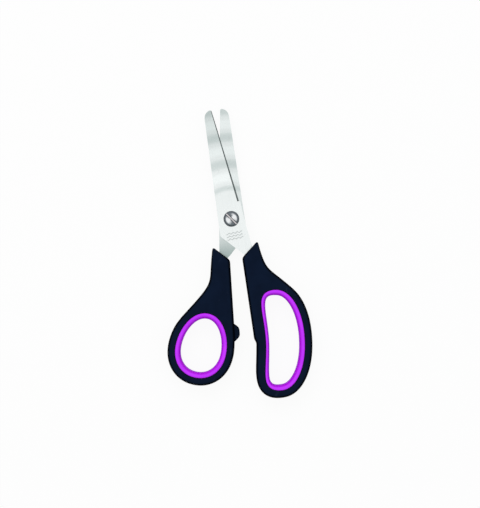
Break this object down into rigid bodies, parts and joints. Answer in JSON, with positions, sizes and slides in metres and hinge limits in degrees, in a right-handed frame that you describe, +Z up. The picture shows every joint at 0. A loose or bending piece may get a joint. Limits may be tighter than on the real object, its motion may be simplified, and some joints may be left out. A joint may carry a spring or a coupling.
{
  "type": "decorative edge scissors",
  "caption": "Paper-craft scissors with wave-pressed steel blades on a slotted pivot screw, black moulded handles, soft magenta loop liners and a closing bumper.",
  "frame": {"origin": "middle of the object's length and width, on the surface that the scissors lie on", "axes": "+Y along the blades towards the tips, +Z up out of the surface, through the screw head, +X to the finger handle's side"},
  "size_m": [0.0816, 0.1646, 0.011],
  "materials": {
    "blade_steel": "fine brushed, wave-pressed stainless sheet",
    "screw_steel": "polished turned steel",
    "handle_black": "blue-black moulded plastic with a fine satin grain",
    "bumper_black": "matte soft rubber",
    "liner_magenta": "satin soft-touch magenta elastomer"
  },
  "bodies": {
    "thumb_half": {"rear_blade": "blade_steel", "thumb_handle": "handle_black", "thumb_insert": "liner_magenta", "stop_bumper": "bumper_black", "spring_washer": "screw_steel", "lock_nut": "screw_steel"},
    "finger_half": {"front_blade": "blade_steel", "finger_handle": "handle_black", "finger_insert": "liner_magenta"},
    "screw": {"pivot_screw": "screw_steel"}
  },
  "joints": [
    {"name": "blade_pivot", "type": "hinge", "parent": "thumb_half", "child": "finger_half", "pos_m": [0.00538, 0.02065, 0.0055], "axis": [0, 0, 1], "range_deg": [-6.4, 115]},
    {"name": "tension_turn", "type": "hinge", "parent": "thumb_half", "child": "screw", "pos_m": [0.00538, 0.02065, 0.0055], "axis": [0, 0, 1], "range_deg": [-90, 90]}
  ]
}
